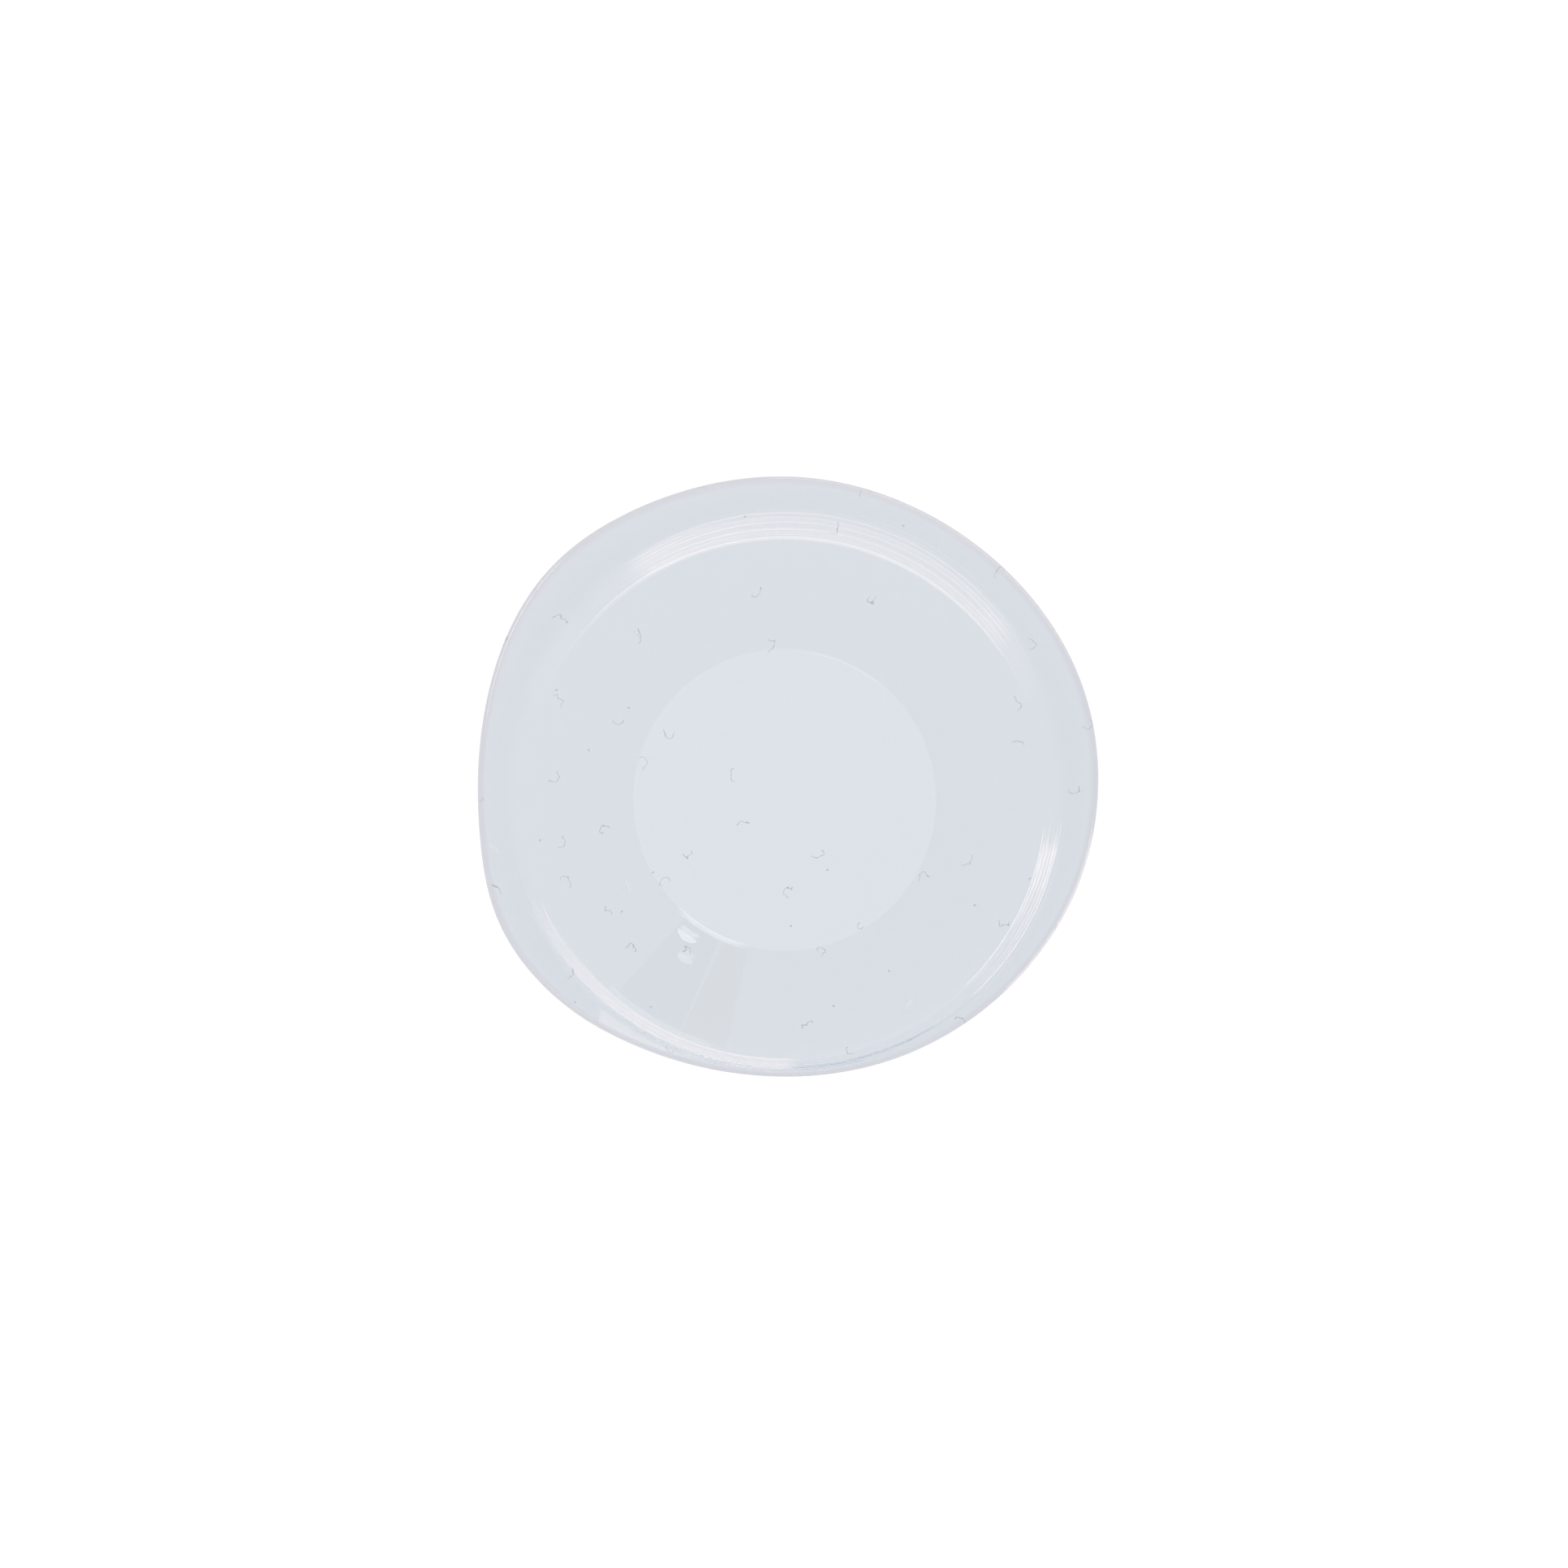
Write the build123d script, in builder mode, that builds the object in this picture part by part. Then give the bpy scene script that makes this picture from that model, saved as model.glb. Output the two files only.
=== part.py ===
"""A watch glass: a shallow stepped dish of clear glass, slumped from one hand-cut blank.

Millimetres, +Z up. The origin is the centre of the base's underside.
"""
from math import cos, radians, sin
import os

from build123d import *

# Driving dimensions. Radii and rises are those of the underside, where the glass met the mould.
base_radius = 24.5
wall_run = 18.05
wall_rise = 2.8
step_run = 3.0
step_rise = 1.4
glass_thickness = 1.9

# The top of the step sits this far off the centre of the base, towards +Y.
step_lean = 1.3

# Radii of the bends on the side where each one is tightest.
base_bend = 8.0
foot_bend = 1.5
shoulder_bend = 1.2

# Flat left on the cut edge between its two fire-polished corners.
rim_land = 0.2

# Width of the flange, from the top of the step to the cut. The cut was made by hand, so the width
# wanders: direction from the centre of the step in degrees from +X, width in mm.
flange_widths = [
    (13, 5.25),
    (41, 4.89),
    (84, 5.06),
    (117, 5.78),
    (136, 6.54),
    (193, 4.34),
    (202, 5.03),
    (221, 4.30),
    (237, 2.43),
    (289, 1.07),
    (307, 1.88),
    (340, 3.99),
]

# Sizes that follow from the ones above.
foot_radius = base_radius + wall_run
step_radius = foot_radius + step_run
flange_height = wall_rise + step_rise
overall_height = flange_height + glass_thickness
rim_round = (glass_thickness - rim_land) / 2
mould_radius = 1.2 * (step_radius + max(width for direction, width in flange_widths))
mould_depth = 3 * overall_height


def rim_points():
    """Points of the rim, seen from above."""
    points = []
    for direction, width in flange_widths:
        radius = step_radius + width
        x = radius * cos(radians(direction))
        y = step_lean + radius * sin(radians(direction))
        points.append((x, y))
    return points


def rings(radius):
    """Round edges of the dish that have this radius."""
    round_edges = dish.edges().filter_by(GeomType.CIRCLE)
    return round_edges.filter_by(lambda edge: abs(edge.radius - radius) < 0.001)


with BuildPart() as dish:
    # The hollow of the mould, from the bottom up: the wall, the step, the room above the flange.
    with BuildSketch():
        Circle(base_radius)
    with BuildSketch(Plane.XY.offset(wall_rise)):
        Circle(foot_radius)
    loft()
    with BuildSketch(Plane.XY.offset(wall_rise)):
        Circle(foot_radius)
    with BuildSketch(Plane.XY.offset(flange_height)):
        with Locations((0, step_lean)):
            Circle(step_radius)
    loft()
    with BuildSketch(Plane.XY.offset(flange_height)):
        Circle(mould_radius)
    extrude(amount=mould_depth)
    fillet(rings(base_radius), radius=base_bend + glass_thickness)
    fillet(rings(foot_radius), radius=foot_bend + glass_thickness)
    fillet(rings(step_radius), radius=shoulder_bend)
    # The glass lies against the mould in one even thickness and is open at the top.
    offset(amount=-glass_thickness, openings=dish.faces().sort_by(Axis.Z)[-1])
    # The cut round the blank.
    with BuildSketch():
        with BuildLine():
            Spline(*rim_points(), periodic=True)
        make_face()
    extrude(amount=overall_height, mode=Mode.INTERSECT)
    # The two corners of the cut edge, which are the longest edges of the dish.
    fillet(dish.edges().sort_by(SortBy.LENGTH)[-2:], radius=rim_round)

dish.part.label = "dish"
os.makedirs("parts", exist_ok=True)
export_step(dish.part, "parts/dish.step")
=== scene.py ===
# %% [markdown]
# # A watch glass in Blender
#
# A watch glass is a shallow dish for weighing, drying and covering. This one is a single piece of
# clear glass: a flat round base, a low conical wall, a small step, and a flat flange with an
# uneven, flame-polished rim. The CAD frame gives its size, and this lesson gives it its look.

# %% Load the frame
import bmesh
import bpy
from math import atan2, cos, degrees, hypot, pi, radians, sin, tan

import numpy as np
from mathutils import Matrix, Vector


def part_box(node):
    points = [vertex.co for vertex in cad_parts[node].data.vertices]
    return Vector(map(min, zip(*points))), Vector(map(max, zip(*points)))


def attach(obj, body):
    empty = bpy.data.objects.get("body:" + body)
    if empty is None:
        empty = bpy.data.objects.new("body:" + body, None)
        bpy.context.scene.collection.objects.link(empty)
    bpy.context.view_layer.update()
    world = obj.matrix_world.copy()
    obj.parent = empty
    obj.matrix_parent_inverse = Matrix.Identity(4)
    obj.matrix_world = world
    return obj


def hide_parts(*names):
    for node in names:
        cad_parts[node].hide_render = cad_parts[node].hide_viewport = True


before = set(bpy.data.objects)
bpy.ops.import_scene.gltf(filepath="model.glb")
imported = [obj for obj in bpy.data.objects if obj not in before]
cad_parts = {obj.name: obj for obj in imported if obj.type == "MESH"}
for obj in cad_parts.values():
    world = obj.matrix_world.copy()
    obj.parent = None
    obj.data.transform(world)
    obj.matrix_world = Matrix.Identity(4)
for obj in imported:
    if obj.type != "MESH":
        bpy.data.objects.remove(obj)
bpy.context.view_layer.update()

dish_low, dish_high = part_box("dish")
print("the glass measures", [round(1000 * side, 1) for side in dish_high - dish_low], "mm")

# %% [markdown]
# ## The camera
#
# The dish lies on a table and is seen almost straight down through a long lens, which keeps its
# circles round. It stands a few degrees in front of the dish, so it doesn't see its own reflection.

# %% Place the camera
CAMERA_TILT = radians(4.0)
CAMERA_DISTANCE = 1.5
SENSOR_WIDTH = 0.036
VIEW_WIDTH = 0.2531
AIM_RIGHT = -0.0001
AIM_UP = 0.00262

view_right = Vector((1, 0, 0))
view_up = Vector((0, cos(CAMERA_TILT), sin(CAMERA_TILT)))
view_back = Vector((0, -sin(CAMERA_TILT), cos(CAMERA_TILT)))

camera_data = bpy.data.cameras.new("camera")
camera_data.sensor_width = 1000 * SENSOR_WIDTH
camera_data.lens = 1000 * SENSOR_WIDTH * CAMERA_DISTANCE / VIEW_WIDTH
camera = bpy.data.objects.new("camera", camera_data)
bpy.context.scene.collection.objects.link(camera)
camera.location = AIM_RIGHT * view_right + AIM_UP * view_up + CAMERA_DISTANCE * view_back
camera.rotation_euler = (CAMERA_TILT, 0, 0)
bpy.context.scene.camera = camera
print("the lens is", round(camera_data.lens), "mm long")

# %% [markdown]
# ## The section of the glass
#
# Half of the section is drawn as a chain of vertices, the way a mould maker would draw it: along
# the underside from the middle to the rim, then back along the upper side. Only the corners are
# drawn. The upper side is the underside moved up by one thickness of glass.

# %% Draw the corners of the section
BASE_RADIUS = 0.0245
WALL_RUN = 0.01805
WALL_RISE = 0.0028
STEP_RUN = 0.0030
GLASS = 0.0019
RIM_RADIUS = 0.0500

FOOT_RADIUS = BASE_RADIUS + WALL_RUN
STEP_RADIUS = FOOT_RADIUS + STEP_RUN
FLANGE_HEIGHT = dish_high.z - GLASS
print("the step rises", round(1000 * (FLANGE_HEIGHT - WALL_RISE), 2), "mm")


def offset_corner(before, corner, after, distance):
    """Where the corner goes when both lines that meet in it move left by the distance."""
    into = (corner - before).normalized()
    out = (after - corner).normalized()
    left_in = Vector((-into.y, into.x))
    left_out = Vector((-out.y, out.x))
    middle = (left_in + left_out).normalized()
    return corner + middle * distance / middle.dot(left_in)


underside = [
    Vector((0, 0)),
    Vector((BASE_RADIUS, 0)),
    Vector((FOOT_RADIUS, WALL_RISE)),
    Vector((STEP_RADIUS, FLANGE_HEIGHT)),
    Vector((RIM_RADIUS, FLANGE_HEIGHT)),
]
upper_side = [Vector((0, GLASS))]
for i in (1, 2, 3):
    upper_side.append(offset_corner(*underside[i - 1 : i + 2], GLASS))
upper_side.append(Vector((RIM_RADIUS, FLANGE_HEIGHT + GLASS)))
section = underside + upper_side[::-1]

glass_mesh = bmesh.new()
corners = [glass_mesh.verts.new((point.x, 0, point.y)) for point in section]
for a, b in zip(corners, corners[1:]):
    glass_mesh.edges.new((a, b))
print("the section has", len(corners), "corners")

# %% [markdown]
# ## The bends
#
# Hot glass sags over the mould's corners and can't follow them sharply. A vertex bevel turns each
# corner into an arc. Its offset is how far the arc starts from the corner, which follows from the
# radius and the angle of the turn. The two sides of one bend share a centre, so their radii differ
# by the thickness. The rim's two corners were rounded in a flame.

# %% Bend the corners
TIGHT_BASE_BEND = 0.0080
TIGHT_FOOT_BEND = 0.0015
TIGHT_SHOULDER_BEND = 0.0012
RIM_ROUND = 0.00085
ARC_STEP = radians(3)
FEWEST_SEGMENTS = 6

bend_radii = {
    1: TIGHT_BASE_BEND + GLASS,
    2: TIGHT_FOOT_BEND + GLASS,
    3: TIGHT_SHOULDER_BEND,
    4: RIM_ROUND,
    5: RIM_ROUND,
    6: TIGHT_SHOULDER_BEND + GLASS,
    7: TIGHT_FOOT_BEND,
    8: TIGHT_BASE_BEND,
}
for i, radius in bend_radii.items():
    turn = abs((section[i] - section[i - 1]).angle_signed(section[i + 1] - section[i]))
    bmesh.ops.bevel(
        glass_mesh,
        geom=[corners[i]],
        affect="VERTICES",
        offset=radius * tan(turn / 2),
        offset_type="OFFSET",
        segments=max(FEWEST_SEGMENTS, round(turn / ARC_STEP)),
        profile=0.5,
        material=-1,
    )
print("the bent section has", len(glass_mesh.verts), "vertices")

# %% [markdown]
# ## The turned body
#
# Spinning the section gives the dish as the mould would shape a perfectly centred blank. Two facts
# about every vertex are kept as attributes for the finish: its spun radius, because the step is
# about to move, and whether it is on the upper face, because dust only lies there.

# %% Spin the section
TURN_STEPS = 288

bmesh.ops.spin(
    glass_mesh,
    geom=glass_mesh.verts[:] + glass_mesh.edges[:],
    cent=(0, 0, 0),
    axis=(0, 0, 1),
    angle=2 * pi,
    steps=TURN_STEPS,
    use_merge=True,
)
bmesh.ops.remove_doubles(glass_mesh, verts=glass_mesh.verts[:], dist=1e-6)
bmesh.ops.recalc_face_normals(glass_mesh, faces=glass_mesh.faces[:])

spun_radius = glass_mesh.verts.layers.float.new("spun_radius")
upper_face = glass_mesh.verts.layers.float.new("upper_face")
corner_radii = [point.x for point in underside]
corner_heights = [point.y for point in underside]
for vertex in glass_mesh.verts:
    vertex[spun_radius] = hypot(vertex.co.x, vertex.co.y)
    middle_height = np.interp(vertex[spun_radius], corner_radii, corner_heights) + GLASS / 2
    vertex[upper_face] = float(vertex.co.z > middle_height)
print("spun:", len(glass_mesh.verts), "vertices,", len(glass_mesh.faces), "faces")

# %% [markdown]
# ## The lean of the step
#
# The step isn't quite centred on the base: its top is shifted to one side, so it is wide there and
# narrow on the other side. Every vertex moves by a share of the lean that grows from nothing at
# the step's foot to all of it at the shoulder. The share starts and ends gently, over the bends.

# %% Lean the step
STEP_LEAN = 0.0013
EASE = 0.2

foot = underside[2]
step_line = underside[3] - foot


def lean_share(radius, height):
    """Share of the lean at a point of the section: 0 inside the foot, 1 outside the shoulder."""
    along = (Vector((radius, height)) - foot).dot(step_line) / step_line.length_squared
    if along < -EASE:
        return 0
    if along < EASE:
        return (along + EASE) ** 2 / (4 * EASE)
    if along < 1 - EASE:
        return along
    if along < 1 + EASE:
        return 1 - (1 + EASE - along) ** 2 / (4 * EASE)
    return 1


# %% [markdown]
# ## The rim
#
# The blank was cut by hand, so its outline wanders. The outline is read off the CAD frame: the
# outermost vertex in each direction, smoothed with a short Fourier series. The spun rim then moves
# out or in to meet it, and the flat flange simply stretches.

# %% Read the outline off the frame
HARMONICS = 16

frame_points = np.array([vertex.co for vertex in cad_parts["dish"].data.vertices])
frame_radius = np.hypot(frame_points[:, 0], frame_points[:, 1])
frame_angle = np.arctan2(frame_points[:, 1], frame_points[:, 0])
whole_degree = np.floor(np.degrees(frame_angle))
outermost = []
for degree in np.unique(whole_degree):
    here = np.flatnonzero(whole_degree == degree)
    farthest = here[np.argmax(frame_radius[here])]
    if frame_points[farthest, 2] > FLANGE_HEIGHT:
        outermost.append(farthest)


def fourier_terms(angle):
    """1, then the cosine and sine of every multiple of the angle."""
    terms = [np.ones_like(angle)]
    for k in range(1, HARMONICS + 1):
        terms += [np.cos(k * angle), np.sin(k * angle)]
    return np.stack(terms, axis=-1)


terms = fourier_terms(frame_angle[outermost])
rim_weights = np.linalg.lstsq(terms, frame_radius[outermost], rcond=None)[0]
misfit = abs(terms @ rim_weights - frame_radius[outermost]).max()
print("the smoothed outline is within", round(1000 * misfit, 3), "mm of the frame")

# %% [markdown]
# The flange is squeezed on the side the step leans away from, until the shoulder almost meets the
# rim. So the glass outside the middle of the shoulder is fitted in three parts: the outer half of
# the shoulder keeps its width as long as there is room, the rim always keeps its round, and the
# flat between them takes what is left.

# %% Move the step and the rim
SHOULDER_MIDDLE = STEP_RADIUS - 0.0006
SHOULDER_END = STEP_RADIUS + 0.0005
ROOM_FOR_SHOULDER = 0.0016

round_start = RIM_RADIUS - RIM_ROUND
shoulder_width = SHOULDER_END - SHOULDER_MIDDLE
flat_width = round_start - SHOULDER_END
for vertex in glass_mesh.verts:
    radius = vertex[spun_radius]
    if radius < 1e-6:
        continue
    outward = Vector((vertex.co.x, vertex.co.y)) / radius
    leaned = Vector((0, STEP_LEAN * lean_share(radius, vertex.co.z)))
    if radius <= SHOULDER_MIDDLE:
        placed = radius * outward + leaned
    else:
        angle = np.array(atan2(outward.y, outward.x))
        rim_here = float(fourier_terms(angle) @ rim_weights)
        start = SHOULDER_MIDDLE * outward + leaned
        end = (rim_here - RIM_ROUND) * outward
        room = (end - start).length
        shoulder_room = shoulder_width * min(1, room / ROOM_FOR_SHOULDER)
        if radius < SHOULDER_END:
            used = (radius - SHOULDER_MIDDLE) / shoulder_width * shoulder_room
        else:
            used = shoulder_room + (radius - SHOULDER_END) / flat_width * (room - shoulder_room)
        if radius < round_start:
            placed = start + (end - start) * used / room
        else:
            placed = end + (radius - round_start) * outward
    vertex.co.x, vertex.co.y = placed

dish_mesh = bpy.data.meshes.new("glass_dish")
glass_mesh.to_mesh(dish_mesh)
glass_mesh.free()
dish_mesh.shade_smooth()
glass_dish = bpy.data.objects.new("glass_dish", dish_mesh)
bpy.context.scene.collection.objects.link(glass_dish)
print("the finished dish is", round(1000 * glass_dish.dimensions.x, 1), "mm wide")

# %% [markdown]
# Smooth shading averages the normals across each edge, which would make the flat faces look
# slightly domed beside the bends. The Weighted Normal modifier lets the large flat faces win.
# The dish then takes the place of its CAD node.

# %% Shade the dish and hand it to the frame
weighted = glass_dish.modifiers.new("weighted normals", "WEIGHTED_NORMAL")
weighted.mode = "FACE_AREA"
weighted.weight = 50
weighted.keep_sharp = False
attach(glass_dish, "root")
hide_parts("dish")

# %% [markdown]
# ## Helpers for materials
#
# Small functions keep the node trees readable. The first adds any node: an input that is given a
# socket gets a link, and any other input gets a plain value. The rest are built from it.


# %% Define the helpers
def add_node(tree, kind, inputs=None, **settings):
    """Any shader node, with its settings made and its inputs filled or linked."""
    node = tree.nodes.new("ShaderNode" + kind)
    for name, value in settings.items():
        setattr(node, name, value)
    for name, value in (inputs or {}).items():
        if isinstance(value, bpy.types.NodeSocket):
            tree.links.new(value, node.inputs[name])
        else:
            node.inputs[name].default_value = value
    return node


def calc(tree, operation, *values):
    """Arithmetic on numbers."""
    return add_node(tree, "Math", dict(enumerate(values)), operation=operation).outputs[0]


def vector_calc(tree, operation, *values):
    """Vector arithmetic. A length or a dot product is a number, anything else a vector."""
    node = add_node(tree, "VectorMath", dict(enumerate(values)), operation=operation)
    return node.outputs["Value" if operation in ("LENGTH", "DOT_PRODUCT") else "Vector"]


def new_group(name, inputs, outputs):
    """A shader node group. Inputs give each socket its type and starting value."""
    tree = bpy.data.node_groups.new(name, "ShaderNodeTree")
    for socket, (kind, value) in inputs.items():
        made = tree.interface.new_socket(socket, in_out="INPUT", socket_type="NodeSocket" + kind)
        if value is not None:
            made.default_value = value
    for socket, kind in outputs.items():
        tree.interface.new_socket(socket, in_out="OUTPUT", socket_type="NodeSocket" + kind)
    return tree, tree.nodes.new("NodeGroupInput"), tree.nodes.new("NodeGroupOutput")


def blend(tree, factor, a, b):
    """The first colour where the factor is 0, the second where it is 1."""
    inputs = {"Factor": factor, "A": a, "B": b}
    node = add_node(tree, "Mix", data_type="RGBA")
    for socket in node.inputs:
        if socket.enabled and socket.name in inputs:
            value = inputs[socket.name]
            if isinstance(value, bpy.types.NodeSocket):
                tree.links.new(value, socket)
            else:
                socket.default_value = value
    return next(socket for socket in node.outputs if socket.enabled)


def smooth_above(tree, value, low, high):
    """0 below the low value, 1 above the high value, smooth in between."""
    limits = {"Value": value, "From Min": low, "From Max": high}
    node = add_node(tree, "MapRange", limits, interpolation_type="SMOOTHSTEP")
    return node.outputs["Result"]


# %% [markdown]
# ## Marks scattered on the glass
#
# Used glass is never spotless. Lint fibres lie on it as tiny dark hooks, and there are hairline
# scratches. Both kinds are drawn the same way. A Voronoi texture splits the surface into cells,
# and gives each cell a position and a random colour. Inside a cell a short curve or line is drawn
# round that position, turned by the colour. Only a share of the cells gets a mark.


# %% Build the fibre group
SCATTER = 0.8
TIGHTEST_CURL = 0.6
CURL_SPREAD = 1.8
LONGEST_ARC = -0.45
ARC_SPREAD = 2.2


def cell_marks(tree, group_in):
    """Position inside the Voronoi cell, the cell's random direction and its random number."""
    scaled = vector_calc(tree, "DIVIDE", group_in.outputs["Vector"], group_in.outputs["Cell"])
    flat = vector_calc(tree, "MULTIPLY", scaled, (1, 1, 0))
    texture_inputs = {"Vector": flat, "Scale": 1, "Randomness": SCATTER}
    cells = add_node(tree, "TexVoronoi", texture_inputs, voronoi_dimensions="2D")
    inside = vector_calc(tree, "SUBTRACT", flat, cells.outputs["Position"])
    centred = vector_calc(tree, "SUBTRACT", cells.outputs["Color"], (0.5, 0.5, 0.5))
    direction = vector_calc(tree, "NORMALIZE", vector_calc(tree, "MULTIPLY", centred, (1, 1, 0)))
    number = add_node(tree, "SeparateColor", {"Color": cells.outputs["Color"]}).outputs["Blue"]
    return inside, direction, number


MARK_INPUTS = {
    "Vector": ("Vector", None),
    "Cell": ("Vector", (0.01, 0.01, 0.01)),
    "Size": ("Float", 0.1),
    "Width": ("Float", 0.01),
    "Share": ("Float", 0.5),
}

fibres, group_in, group_out = new_group("lint fibres", MARK_INPUTS, {"Mask": "Float"})
inside, direction, number = cell_marks(fibres, group_in)
size, width, share = (group_in.outputs[name] for name in ("Size", "Width", "Share"))
curl = calc(fibres, "MULTIPLY_ADD", number, CURL_SPREAD, TIGHTEST_CURL)
curve_radius = calc(fibres, "MULTIPLY", size, curl)
off_ring = calc(fibres, "SUBTRACT", vector_calc(fibres, "LENGTH", inside), curve_radius)
near_ring = calc(fibres, "LESS_THAN", calc(fibres, "ABSOLUTE", off_ring), width)
reach = vector_calc(fibres, "DOT_PRODUCT", inside, direction)
arc_start = calc(fibres, "MULTIPLY_ADD", number, ARC_SPREAD, LONGEST_ARC)
on_arc = calc(fibres, "GREATER_THAN", reach, calc(fibres, "MULTIPLY", curve_radius, arc_start))
chosen = calc(fibres, "LESS_THAN", number, share)
mask = calc(fibres, "MULTIPLY", calc(fibres, "MULTIPLY", near_ring, on_arc), chosen)
fibres.links.new(mask, group_out.inputs["Mask"])

# %% [markdown]
# A scratch is a short straight line through the same position. It is drawn where the distance
# along the cell's direction and the distance across it are both small.

# %% Build the scratch group
scratches, group_in, group_out = new_group("hairline scratches", MARK_INPUTS, {"Mask": "Float"})
inside, direction, number = cell_marks(scratches, group_in)
size, width, share = (group_in.outputs[name] for name in ("Size", "Width", "Share"))
along = calc(scratches, "ABSOLUTE", vector_calc(scratches, "DOT_PRODUCT", inside, direction))
across_direction = vector_calc(scratches, "CROSS_PRODUCT", direction, (0, 0, 1))
across = vector_calc(scratches, "DOT_PRODUCT", inside, across_direction)
in_length = calc(scratches, "LESS_THAN", along, size)
in_width = calc(scratches, "LESS_THAN", calc(scratches, "ABSOLUTE", across), width)
chosen = calc(scratches, "LESS_THAN", number, share)
mask = calc(scratches, "MULTIPLY", calc(scratches, "MULTIPLY", in_length, in_width), chosen)
scratches.links.new(mask, group_out.inputs["Mask"])
print("node groups:", [group.name for group in bpy.data.node_groups])

# %% [markdown]
# ## The clear glass
#
# The glass is a Principled BSDF with full transmission and the refractive index of soda-lime
# glass. A faint blue tint sits in its base colour. Light and shade are painted into that colour as
# well: it is painted a little lighter on the flat base, which touches the table, and painted darker
# on the flange and darker still along the rim. Lint darkens the colour and scratches lighten it. A
# painted highlight, a bright line, follows the foot of the step on its far side. On the step, the
# sag over the mould has drawn the surface into fine rings, which are a bump that depends on the
# spun radius alone.

# %% Mix the colour of the glass
# The wall tint is the glass's own colour. The base tint is lighter, which is painted light where
# the base touches the table. The flange and rim tints are darker, which is painted shade.
PAINTED_LIGHT_BASE_TINT = (0.686, 0.769, 0.816, 1)
WALL_TINT = (0.657, 0.739, 0.785, 1)
PAINTED_SHADE_FLANGE_TINT = (0.627, 0.710, 0.759, 1)
PAINTED_SHADE_RIM_TINT = (0.600, 0.655, 0.710, 1)
# The line tint is a painted highlight.
PAINTED_HIGHLIGHT_TINT = (0.93, 0.95, 0.96, 1)
FIBRE_TINT = (0.32, 0.34, 0.40, 1)
SCRATCH_TINT = (0.86, 0.88, 0.92, 1)

BASE_LIGHT_EDGE = (BASE_RADIUS - 0.0002, BASE_RADIUS + 0.0001)
FLANGE_SHADE_EDGE = (FOOT_RADIUS, STEP_RADIUS + 0.001)
RIM_SHADE_EDGE = (RIM_RADIUS - 0.0014, RIM_RADIUS - 0.0006)
# Where the painted highlight runs: a thin ring at the step's foot, fading in toward the far side.
HIGHLIGHT_RADIUS = upper_side[2].x + 0.0001
HIGHLIGHT_WIDTH = 0.00014
HIGHLIGHT_ENDS = (0.5 * FOOT_RADIUS, 0.8 * FOOT_RADIUS)

glass = bpy.data.materials.new("clear_glass")
glass.use_nodes = True
tree = glass.node_tree
tree.nodes.clear()

coordinates = add_node(tree, "TexCoord").outputs["Object"]
radius = add_node(tree, "Attribute", attribute_name="spun_radius").outputs["Fac"]
on_top = add_node(tree, "Attribute", attribute_name="upper_face").outputs["Fac"]

# Painted light and shade by radius: lighter on the flat base, darker on the flange, darker still at
# the rim.
tint_with_painted_light = blend(tree, smooth_above(tree, radius, *BASE_LIGHT_EDGE), PAINTED_LIGHT_BASE_TINT, WALL_TINT)
tint_with_painted_light = blend(tree, smooth_above(tree, radius, *FLANGE_SHADE_EDGE), tint_with_painted_light, PAINTED_SHADE_FLANGE_TINT)
tint_with_painted_light = blend(tree, smooth_above(tree, radius, *RIM_SHADE_EDGE), tint_with_painted_light, PAINTED_SHADE_RIM_TINT)

# Painted highlight: a bright line along the foot of the step, on the far side only.
far_side = add_node(tree, "SeparateXYZ", {"Vector": coordinates}).outputs["Y"]
off_highlight = calc(tree, "ABSOLUTE", calc(tree, "SUBTRACT", radius, HIGHLIGHT_RADIUS))
near_highlight = calc(tree, "SUBTRACT", 1, smooth_above(tree, off_highlight, 0, HIGHLIGHT_WIDTH))
highlight_strength = smooth_above(tree, far_side, *HIGHLIGHT_ENDS)
tint_with_painted_light = blend(tree, calc(tree, "MULTIPLY", near_highlight, highlight_strength), tint_with_painted_light, PAINTED_HIGHLIGHT_TINT)

# %% [markdown]
# The marks go over the tint. A little noise is added to the coordinates of the fibres first, so
# that their curves wander. Marks only show on the upper face.

# %% Scatter the marks
FIBRE_SIZES = {"Cell": (0.0105, 0.0105, 0.0105), "Size": 0.09, "Width": 0.006, "Share": 0.6}
SPECK_SIZES = {"Cell": (0.0143, 0.0143, 0.0143), "Size": 0.008, "Width": 0.008, "Share": 0.45}
SCRATCH_SIZES = {"Cell": (0.017, 0.017, 0.017), "Size": 0.05, "Width": 0.004, "Share": 0.11}
WOBBLE_SCALE = 900.0
WOBBLE_REACH = (0.0016, 0.0016, 0.0016)

wobble_inputs = {"Vector": coordinates, "Scale": WOBBLE_SCALE, "Detail": 1.0}
wobble_noise = add_node(tree, "TexNoise", wobble_inputs)
wobble = vector_calc(tree, "SUBTRACT", wobble_noise.outputs["Color"], (0.5, 0.5, 0.5))
wobbly = vector_calc(tree, "MULTIPLY_ADD", wobble, WOBBLE_REACH, coordinates)


def upper_marks(group, vector, sizes):
    """Mask of one kind of mark, on the upper face only."""
    mask = add_node(tree, "Group", {"Vector": vector, **sizes}, node_tree=group).outputs["Mask"]
    return calc(tree, "MULTIPLY", mask, on_top)


lint = upper_marks(fibres, wobbly, FIBRE_SIZES)
specks = upper_marks(fibres, coordinates, SPECK_SIZES)
scratch = upper_marks(scratches, coordinates, SCRATCH_SIZES)
colour = blend(tree, scratch, tint_with_painted_light, SCRATCH_TINT)
colour = blend(tree, calc(tree, "MAXIMUM", lint, specks), colour, FIBRE_TINT)

# %% [markdown]
# One-dimensional noise along the spun radius gives rings of uneven width. They fade in at the
# step's foot and out again over the shoulder.

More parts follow.
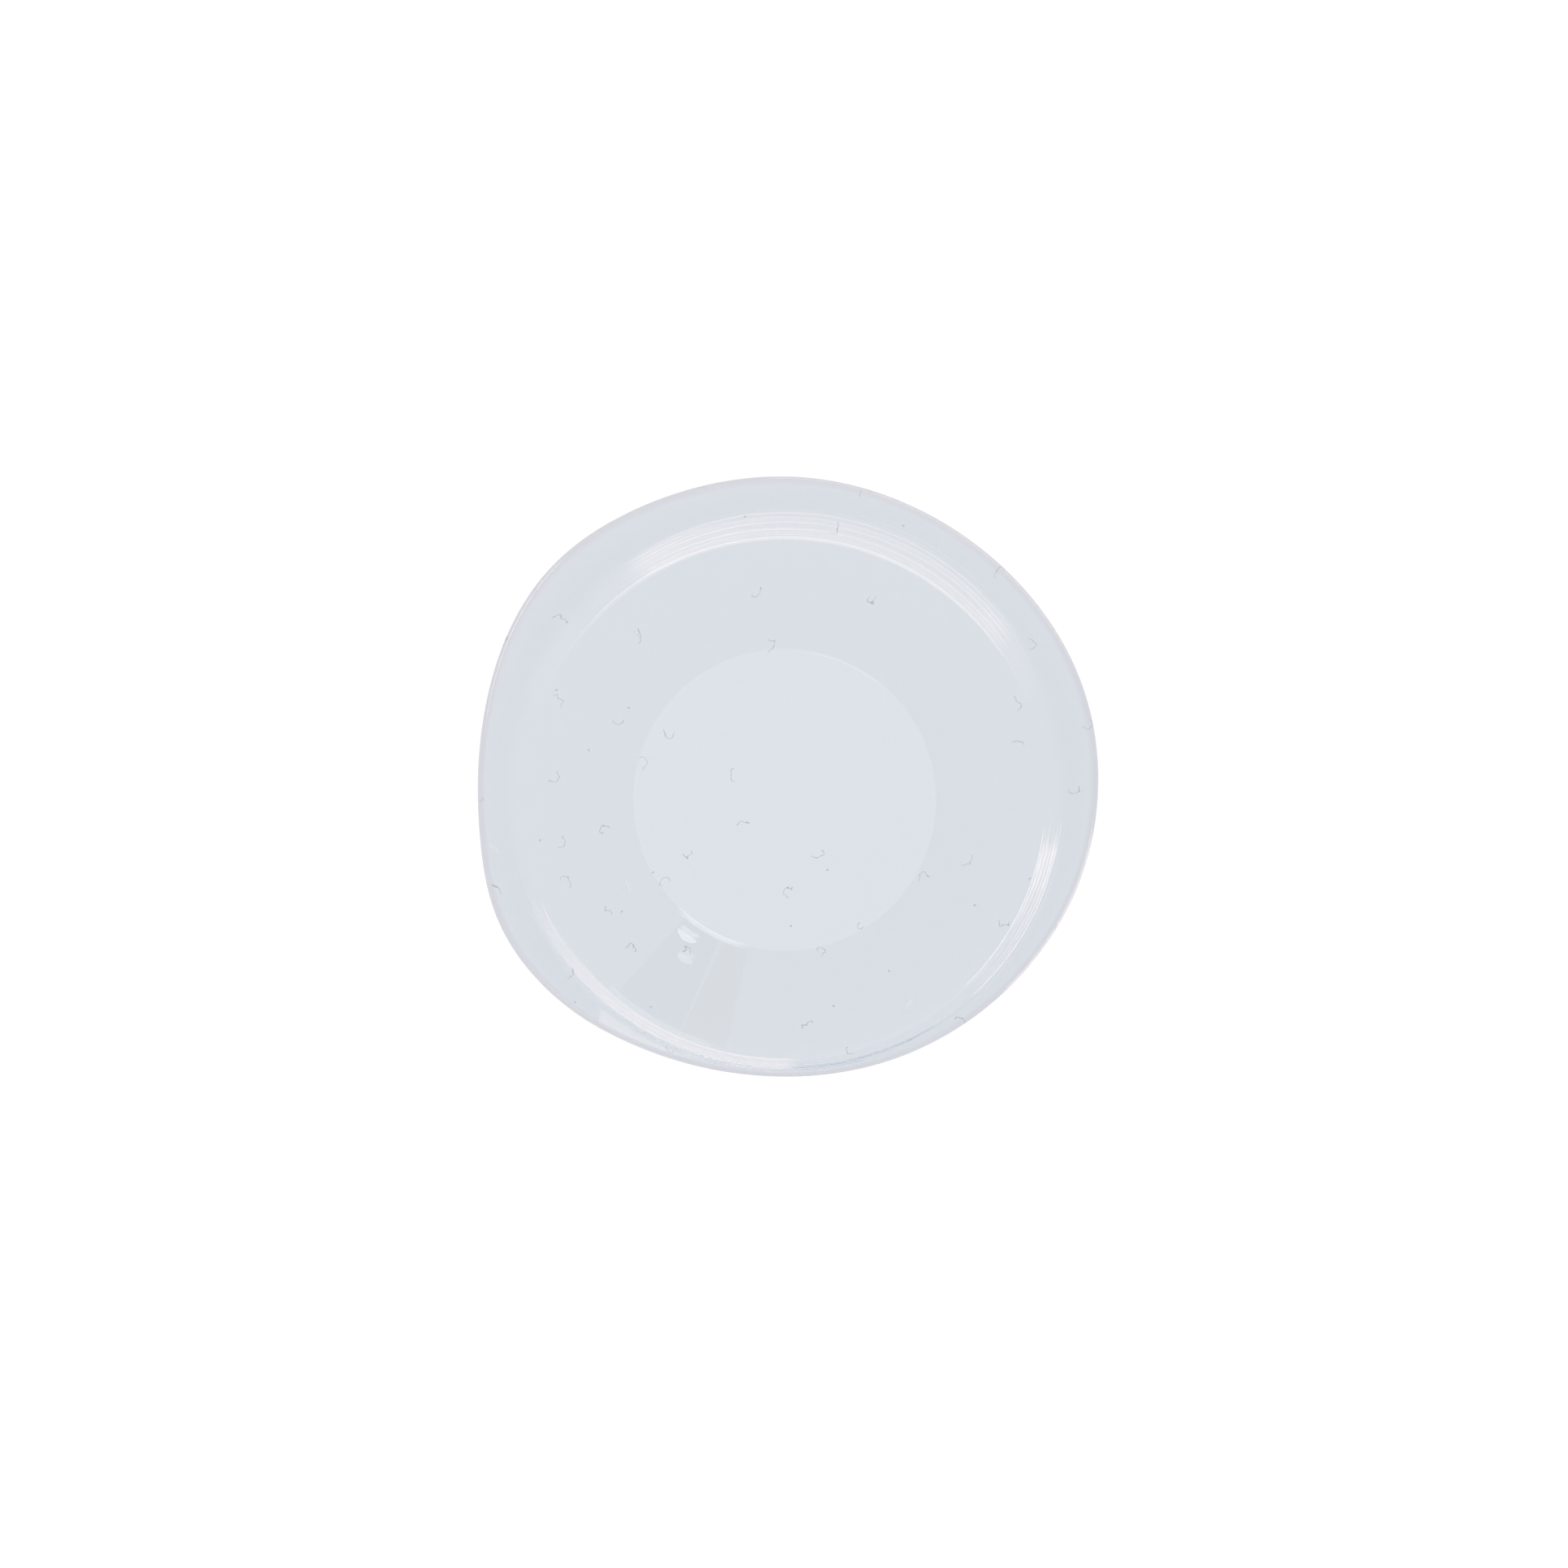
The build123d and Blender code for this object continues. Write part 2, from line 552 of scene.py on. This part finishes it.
# %% Draw the rings on the step
RING_PITCH = 0.0005
RING_DEPTH = 0.00005
RING_START = (FOOT_RADIUS - 0.0015, FOOT_RADIUS)
RING_END = (STEP_RADIUS - 0.0006, STEP_RADIUS + 0.0004)

ring_inputs = {"W": calc(tree, "DIVIDE", radius, RING_PITCH), "Scale": 1.0, "Detail": 2.0}
ring_noise = add_node(tree, "TexNoise", ring_inputs, noise_dimensions="1D")
past_foot = smooth_above(tree, radius, *RING_START)
past_shoulder = smooth_above(tree, radius, *RING_END)
on_step = calc(tree, "SUBTRACT", past_foot, past_shoulder)
ring_height = calc(tree, "MULTIPLY", ring_noise.outputs[0], on_step)
rings = add_node(tree, "Bump", {"Strength": 1.0, "Distance": RING_DEPTH, "Height": ring_height})

# %% [markdown]
# The surface also needs help with light. A glass object casts a black shadow unless light may pass
# straight through it, so shadow rays and diffuse rays see a tinted Transparent BSDF instead. Inside
# the glass, a weak Volume Absorption makes long paths bluer than short ones: that is why the edge
# of a pane looks coloured while its face doesn't.

# %% Put the glass together
GLASS_INDEX = 1.52
SCRATCH_ROUGHNESS = 0.4
SHADOW_TINT = (0.955, 0.965, 0.975, 1)
ABSORPTION_COLOUR = (0.30, 0.50, 0.66, 1)
ABSORPTION_DENSITY = 3.0

surface_inputs = {
    "Base Color": colour,
    "Roughness": calc(tree, "MULTIPLY", scratch, SCRATCH_ROUGHNESS),
    "IOR": GLASS_INDEX,
    "Transmission Weight": 1.0,
    "Normal": rings.outputs["Normal"],
}
principled = add_node(tree, "BsdfPrincipled", surface_inputs).outputs[0]
clear = add_node(tree, "BsdfTransparent", {"Color": SHADOW_TINT}).outputs[0]
ray = add_node(tree, "LightPath").outputs
mixed = add_node(tree, "MixShader", {0: ray["Is Diffuse Ray"], 1: principled, 2: clear})
mixed = add_node(tree, "MixShader", {0: ray["Is Shadow Ray"], 1: mixed.outputs[0], 2: clear})
absorption_inputs = {"Color": ABSORPTION_COLOUR, "Density": ABSORPTION_DENSITY}
absorption = add_node(tree, "VolumeAbsorption", absorption_inputs)
output_inputs = {"Surface": mixed.outputs[0], "Volume": absorption.outputs[0]}
add_node(tree, "OutputMaterial", output_inputs)
glass_dish.data.materials.append(glass)
print("the glass has", len(tree.nodes), "nodes")

# %% [markdown]
# ## The table and the room
#
# A plain pale table and an even, bright room. The room's brightness is what the glass mirrors
# where no lamp is in the way.

# %% Lay the table
TABLE_SIZE = 3.0
TABLE_GREY = 0.9
TABLE_GAP = 0.00002
ROOM_LIGHT = 0.95

table_mesh = bmesh.new()
bmesh.ops.create_grid(table_mesh, x_segments=1, y_segments=1, size=TABLE_SIZE)
table_data = bpy.data.meshes.new("table")
table_mesh.to_mesh(table_data)
table_mesh.free()
table = bpy.data.objects.new("table", table_data)
bpy.context.scene.collection.objects.link(table)
table.location.z = -TABLE_GAP

paper = bpy.data.materials.new("paper")
paper.use_nodes = True
paper_surface = paper.node_tree.nodes["Principled BSDF"]
paper_surface.inputs["Base Color"].default_value = (TABLE_GREY, TABLE_GREY, TABLE_GREY, 1)
paper_surface.inputs["Roughness"].default_value = 0.9
paper_surface.inputs["Specular IOR Level"].default_value = 0.0
table.data.materials.append(paper)

room = bpy.data.worlds.new("room")
room.use_nodes = True
room.node_tree.nodes["Background"].inputs["Color"].default_value = (1, 1, 1, 1)
room.node_tree.nodes["Background"].inputs["Strength"].default_value = ROOM_LIGHT
bpy.context.scene.world = room
bpy.context.scene.view_settings.view_transform = "Standard"

# %% [markdown]
# ## Where a lamp must hang
#
# Clear glass is seen by what it mirrors and bends. The dish is a ring of narrow mirrors that face
# its middle, so a softbox shows up as a bright arc on the far side from itself, and the arc ends
# where the softbox ends. It is easiest to choose the place on the glass where a lamp should show,
# and to work out from the law of reflection where the lamp must be.


# %% Find the mirrored direction
def place_on_glass(azimuth, radius):
    """A point of the upper face of the flat base and wall, near enough for the step as well."""
    height = GLASS + WALL_RISE * max(0, radius - BASE_RADIUS) / WALL_RUN
    return Vector((radius * cos(azimuth), radius * sin(azimuth), height))


def mirrored_place(azimuth, radius, slope, distance):
    """What the camera sees in glass that rises outward at this slope, and the way back from it."""
    start = place_on_glass(azimuth, radius)
    facing = Vector((-cos(azimuth) * sin(slope), -sin(azimuth) * sin(slope), cos(slope)))
    incoming = (start - camera.location).normalized()
    mirrored = incoming - 2 * incoming.dot(facing) * facing
    return start + distance * mirrored, -mirrored


# %% [markdown]
# ## The lamps
#
# Five softboxes light the step. The front one fills its far side with a broad arc, and a narrow
# strip shows as brighter lines in the bends there. One at the back fills the near left side,
# another shows only in the bends of the near right side, and a weak one lights the far left. The
# azimuths and slopes below are those of the glass that should mirror them.


# %% Hang the softboxes
LAMP_DISTANCE = 1.2
WARM_WHITE = (1.0, 0.69, 0.63)


def softbox(name, azimuth, slope, width, height, brightness):
    """An area light that the foot of the step mirrors at this azimuth and slope."""
    place, facing = mirrored_place(radians(azimuth), FOOT_RADIUS, radians(slope), LAMP_DISTANCE)
    data = bpy.data.lights.new(name, "AREA")
    data.shape = "RECTANGLE"
    data.size = width
    data.size_y = height
    data.color = WARM_WHITE
    data.energy = brightness * pi * width * height
    lamp = bpy.data.objects.new(name, data)
    bpy.context.scene.collection.objects.link(lamp)
    lamp.location = place
    lamp.rotation_euler = facing.to_track_quat("-Z", "Y").to_euler()
    print(name, "hangs at", [round(part, 2) for part in place])


softbox("front", azimuth=80, slope=19.0, width=1.65, height=0.5, brightness=0.45)
softbox("front_strip", azimuth=80, slope=14.5, width=1.0, height=0.12, brightness=2.5)
softbox("back_right", azimuth=238, slope=35.5, width=1.35, height=0.42, brightness=2.6)
softbox("back_left", azimuth=332, slope=22, width=0.5, height=0.35, brightness=5.0)
softbox("side", azimuth=150, slope=21, width=0.25, height=0.15, brightness=0.35)

# %% [markdown]
# ## The things in the room
#
# Behind the table stands a cupboard with two shelf lamps and two small bulbs. The low wall of the
# dish mirrors it as a faint, slightly darker wedge. A lamp low beside it shows only in the flange.
# Only the glass may see these cards: the camera doesn't, and they cast no shadow.

# %% Hang the cards
CUPBOARD_DISTANCE = 1.20
BULB_DISTANCE = 1.15
CUPBOARD_GREEN = (0.60, 0.64, 0.58, 1)
CUPBOARD_GREY = (0.80, 0.68, 0.60, 1)
SHELF_LAMP = (2.8, 2.6, 2.5, 1)
BULB = (3.6, 3.6, 3.3, 1)
DIM_BULB = (2.3, 2.2, 2.2, 1)
LOW_LAMP = (2.1, 1.8, 1.7, 1)


def card(name, azimuth, radius, slope, distance, width, height, glow, corners=4):
    """A glowing sheet that the glass mirrors at this azimuth, radius and slope."""
    place, facing = mirrored_place(radians(azimuth), radius, radians(slope), distance)
    outward = Vector((cos(radians(azimuth)), sin(radians(azimuth)), 0))
    across = outward.cross(facing).normalized()
    sheet = bmesh.new()
    for i in range(corners):
        turn = 2 * pi * (i + 0.5) / corners
        reach = 0.5 / cos(pi / corners)
        sheet.verts.new((width * reach * cos(turn), height * reach * sin(turn), 0))
    sheet.faces.new(sheet.verts[:])
    sheet_mesh = bpy.data.meshes.new(name)
    sheet.to_mesh(sheet_mesh)
    sheet.free()
    sheet_object = bpy.data.objects.new(name, sheet_mesh)
    bpy.context.scene.collection.objects.link(sheet_object)
    sheet_object.location = place
    turned = Matrix((across, facing.cross(across), facing)).transposed()
    sheet_object.rotation_euler = turned.to_euler()
    sheet_object.visible_camera = False
    sheet_object.visible_diffuse = False
    sheet_object.visible_shadow = False
    finish = bpy.data.materials.new(name)
    finish.use_nodes = True
    finish.node_tree.nodes.clear()
    emission = add_node(finish.node_tree, "Emission", {"Color": glow, "Strength": 1.0})
    add_node(finish.node_tree, "OutputMaterial", {"Surface": emission.outputs[0]})
    sheet_mesh.materials.append(finish)


wall_slope = degrees(atan2(WALL_RISE, WALL_RUN))
cupboard = {"radius": 0.033, "slope": wall_slope, "distance": CUPBOARD_DISTANCE, "height": 0.13}
card("cupboard_left", azimuth=237.5, width=0.084, glow=CUPBOARD_GREEN, **cupboard)
card("cupboard_right", azimuth=251.5, width=0.054, glow=CUPBOARD_GREY, **cupboard)

bend_lamp = {"azimuth": 240.5, "radius": BASE_RADIUS, "distance": BULB_DISTANCE, "glow": SHELF_LAMP}
card("upper_shelf_lamp", slope=0.50 * wall_slope, width=0.060, height=0.06, **bend_lamp)
card("lower_shelf_lamp", slope=0.77 * wall_slope, width=0.105, height=0.07, **bend_lamp)

bulb = {"slope": wall_slope, "distance": BULB_DISTANCE, "height": 0.0018, "corners": 24}
card("upper_bulb", azimuth=234.5, radius=0.0268, width=0.040, glow=BULB, **bulb)
card("lower_bulb", azimuth=238, radius=0.0297, width=0.028, glow=DIM_BULB, **bulb)

low_place = {"azimuth": 245, "radius": 0.046, "slope": 0.0, "distance": BULB_DISTANCE}
card("low_lamp", width=0.042, height=0.034, glow=LOW_LAMP, **low_place)

# %% [markdown]
# ## Light paths
#
# Light can bounce many times between the two faces of a pane before it gets out. With too few
# bounces those paths go black, which shows as dark lines in the bends. Caustics are left off,
# because the transparent shadow already lights the table evenly.

# %% Set the light paths
BOUNCES = 64

cycles = bpy.context.scene.cycles
cycles.max_bounces = BOUNCES
cycles.transmission_bounces = BOUNCES
cycles.glossy_bounces = BOUNCES
cycles.caustics_reflective = False
cycles.caustics_refractive = False
